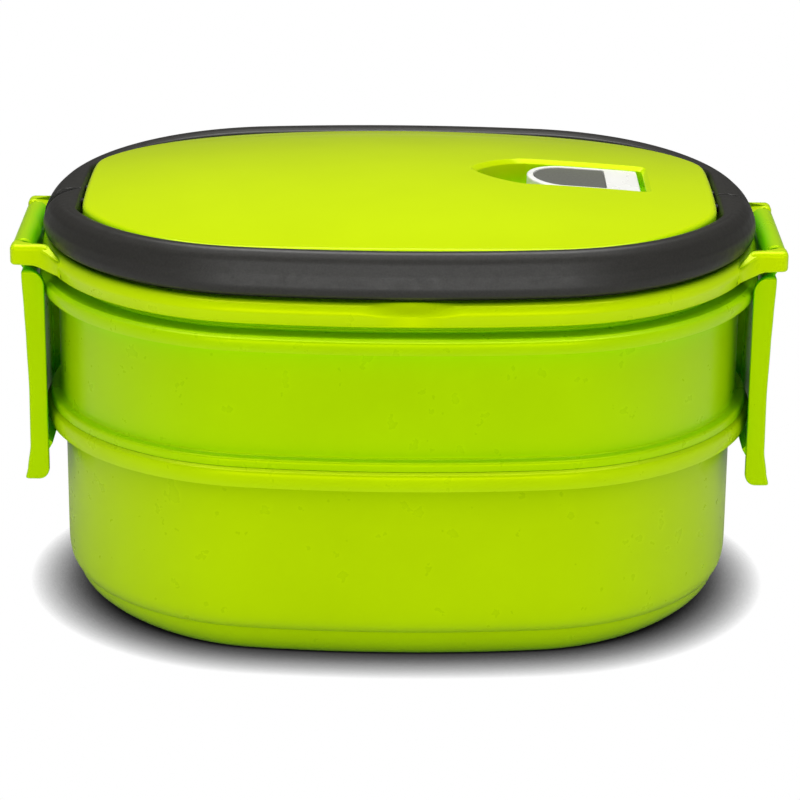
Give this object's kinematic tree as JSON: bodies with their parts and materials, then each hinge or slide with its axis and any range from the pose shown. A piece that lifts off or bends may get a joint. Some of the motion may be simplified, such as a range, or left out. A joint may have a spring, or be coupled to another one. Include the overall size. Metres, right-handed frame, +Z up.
{
  "type": "bento lunch box",
  "caption": "Stacking oval lunch box with a crowned lid, fold-up carrying handles, swinging side latches and a vent flap.",
  "frame": {"origin": "centre of the foot ring, on the surface that the box stands on", "axes": "+X along the box to its right latch, +Y to the back, +Z up through the lid"},
  "size_m": [0.2084, 0.1368, 0.1192],
  "materials": {
    "lime_matte": "satin moulded lime green",
    "lime_gloss": "polished lime green",
    "grey_plastic": "matt warm dark grey",
    "white_plastic": "glossy white",
    "grey_pad": "soft grey",
    "silicone": "translucent off-white",
    "steel": "brushed",
    "pin_steel": "plain drawn"
  },
  "bodies": {
    "lower_tub": {"lower_tub": "lime_matte", "lower_liner": "steel"},
    "upper_tub": {"upper_tub": "lime_matte", "upper_liner": "steel", "tier_seal": "silicone"},
    "lid": {"lid_base": "lime_matte", "lid_panel": "lime_gloss", "lid_liner": "lime_matte", "lid_gasket": "silicone", "front_left_handle_pin": "pin_steel", "front_right_handle_pin": "pin_steel", "back_left_handle_pin": "pin_steel", "back_right_handle_pin": "pin_steel", "vent_pin": "pin_steel", "left_latch_pin": "pin_steel", "right_latch_pin": "pin_steel"},
    "left_latch": {"left_latch": "lime_matte"},
    "right_latch": {"right_latch": "lime_matte"},
    "front_handle": {"front_handle": "grey_plastic"},
    "back_handle": {"back_handle": "grey_plastic"},
    "vent_lever": {"vent_lever": "white_plastic", "vent_pad": "grey_pad", "vent_plug": "silicone"}
  },
  "joints": [
    {"name": "lid_lift", "type": "slide", "parent": "lower_tub", "child": "lid", "axis": [0, 0, 1], "range_m": [0, 0.08]},
    {"name": "upper_tier_lift", "type": "slide", "parent": "lower_tub", "child": "upper_tub", "axis": [0, 0, 1], "range_m": [0, 0.04]},
    {"name": "left_latch_hinge", "type": "hinge", "parent": "lid", "child": "left_latch", "pos_m": [-0.1011, 0, 0.1], "axis": [0, 1, 0], "range_deg": [0, 100]},
    {"name": "right_latch_hinge", "type": "hinge", "parent": "lid", "child": "right_latch", "pos_m": [0.1011, 0, 0.1], "axis": [0, -1, 0], "range_deg": [0, 100]},
    {"name": "front_handle_fold", "type": "hinge", "parent": "lid", "child": "front_handle", "pos_m": [0, -0.0065, 0.11], "axis": [-1, 0, 0], "range_deg": [0, 92]},
    {"name": "back_handle_fold", "type": "hinge", "parent": "lid", "child": "back_handle", "pos_m": [0, 0.0065, 0.11], "axis": [1, 0, 0], "range_deg": [0, 92]},
    {"name": "vent_lever_flip", "type": "hinge", "parent": "lid", "child": "vent_lever", "pos_m": [0.0635, 0, 0.1137], "axis": [0, 1, 0], "range_deg": [0, 95]}
  ],
  "couplings": [
    {"joint": "upper_tier_lift", "follows": "lid_lift", "ratio": 0.5},
    {"joint": "left_latch_hinge", "follows": "lid_lift", "rad_per_m": 21.8},
    {"joint": "right_latch_hinge", "follows": "lid_lift", "rad_per_m": 21.8}
  ]
}
